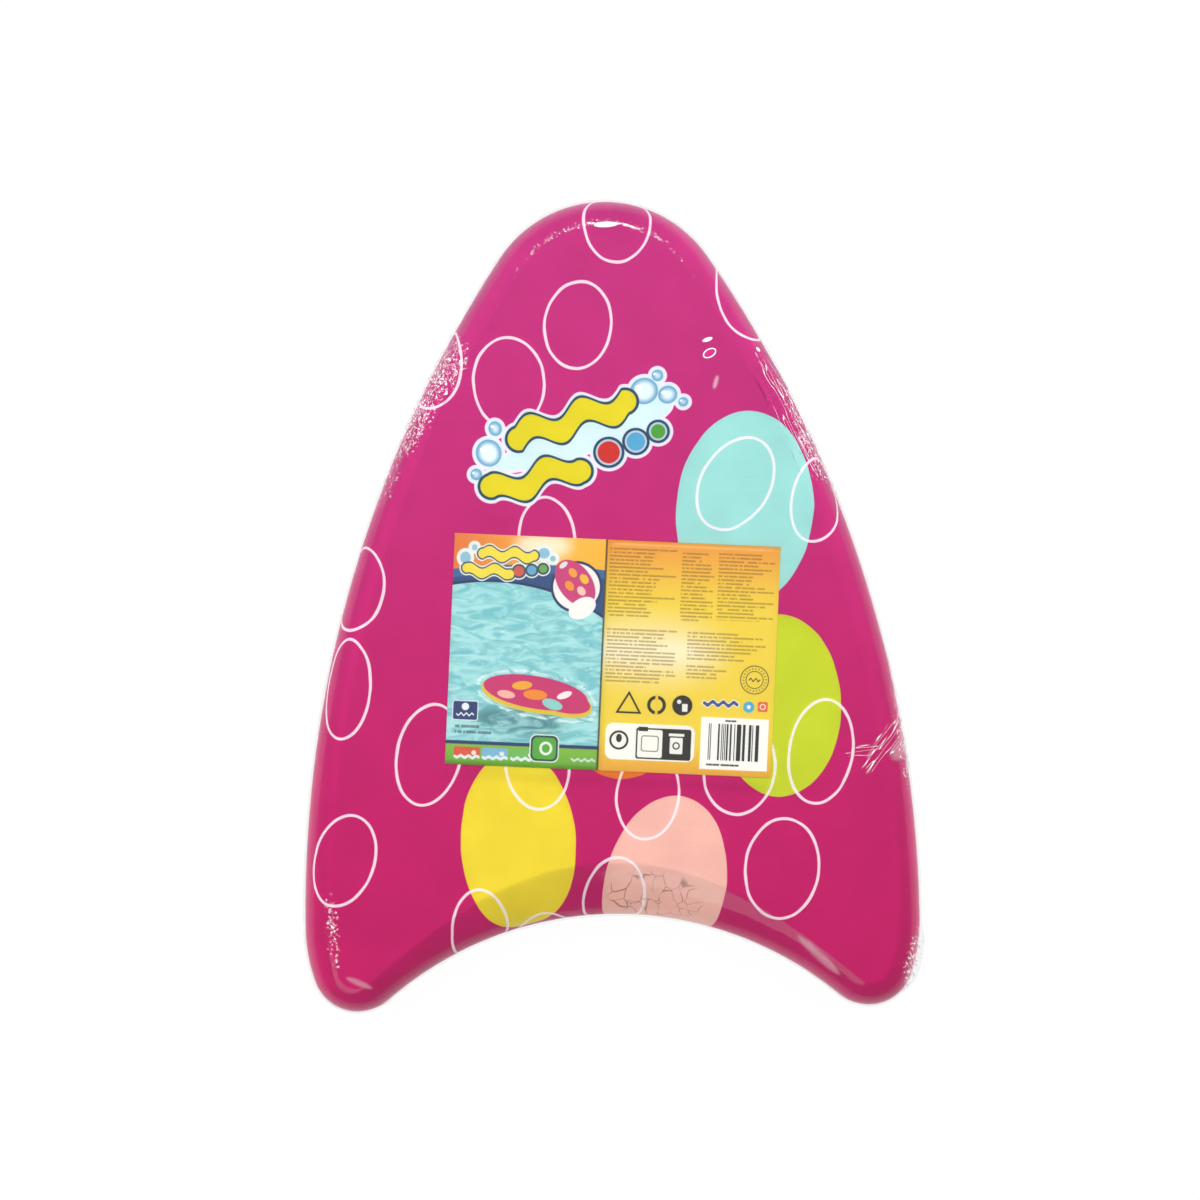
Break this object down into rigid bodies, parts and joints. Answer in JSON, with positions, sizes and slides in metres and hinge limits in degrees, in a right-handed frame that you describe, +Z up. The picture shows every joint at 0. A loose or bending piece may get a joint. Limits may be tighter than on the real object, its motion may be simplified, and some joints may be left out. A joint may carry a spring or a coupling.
{
  "type": "kickboard float",
  "caption": "Flat swimming kickboard with a round nose and an arched tail, a foam core in a sewn printed cover, shrink-wrapped with its insert card.",
  "frame": {"origin": "on the ground, under the middle of the wrapped board's bounding box", "axes": "+Z up out of the printed face, +Y towards the round nose, +X across the board"},
  "size_m": [0.3222, 0.4223, 0.0362],
  "materials": {
    "bead_foam": "matte",
    "printed_fabric": "matte",
    "plain_fabric": "matte",
    "needle_thread": "matte",
    "bobbin_thread": "matte",
    "printed_card": "satin",
    "clear_film": "gloss"
  },
  "bodies": {
    "root": {"foam_core": "bead_foam", "top_cover": "printed_fabric", "bottom_cover": "plain_fabric", "needle_thread": "needle_thread", "bobbin_thread": "bobbin_thread", "insert_card": "printed_card", "film_top": "clear_film", "film_bottom": "clear_film"}
  },
  "joints": []
}
